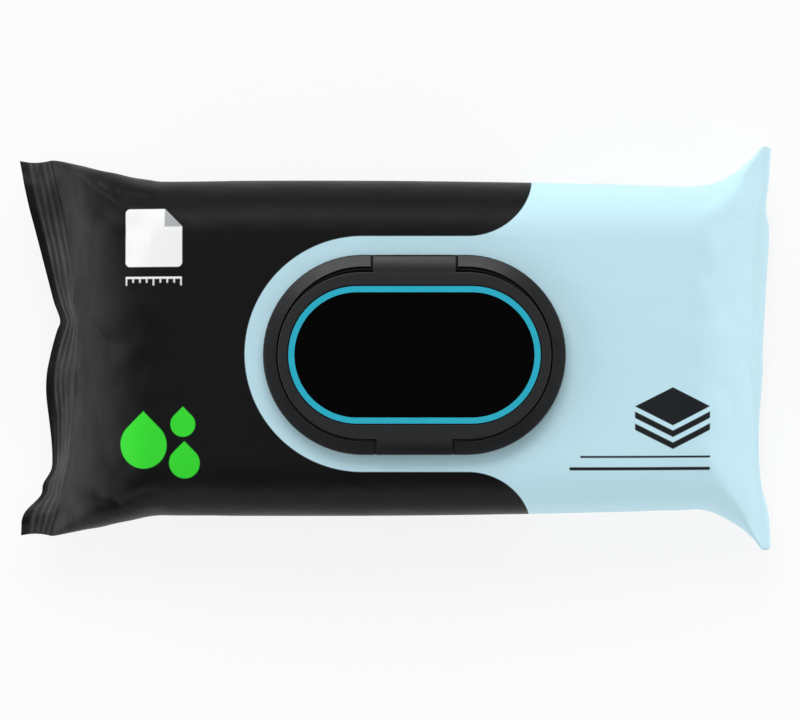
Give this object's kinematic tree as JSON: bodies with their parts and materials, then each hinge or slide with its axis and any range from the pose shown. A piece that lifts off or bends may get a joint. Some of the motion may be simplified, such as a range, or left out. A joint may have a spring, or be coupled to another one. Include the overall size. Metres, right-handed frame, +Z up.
{
  "type": "wet wipes pack",
  "caption": "Flow-wrapped film pouch of wet wipes with crimped, flared end seals and a stadium-shaped flip-top dispensing lid on its front panel.",
  "frame": {"origin": "on the surface the pack lies on, under the middle of its bounding box", "axes": "+X along the pack, towards the end whose seal is bent down; +Y across it, towards the lid's hinge; +Z up, out of the front panel"},
  "size_m": [0.259, 0.139, 0.0488],
  "materials": {
    "printed_film": "satin printed film, black to the left and pale blue to the right",
    "white_film": "satin white film",
    "glue": "hot-melt glue",
    "lid_plastic": "fine matte moulded charcoal",
    "black_label": "gloss black label with a turquoise line round it"
  },
  "bodies": {
    "pouch": {"film_pouch": "printed_film", "peel_seal": "white_film", "lid_adhesive": "glue", "lid_frame": "lid_plastic", "living_hinge": "lid_plastic"},
    "lid": {"flip_lid": "lid_plastic", "lid_label": "black_label"}
  },
  "joints": [
    {"name": "lid_hinge", "type": "hinge", "parent": "pouch", "child": "lid", "pos_m": [0.006, 0.0308, 0.0462], "axis": [-1, 0, 0], "range_deg": [0, 160], "deforming": ["living_hinge"]}
  ]
}
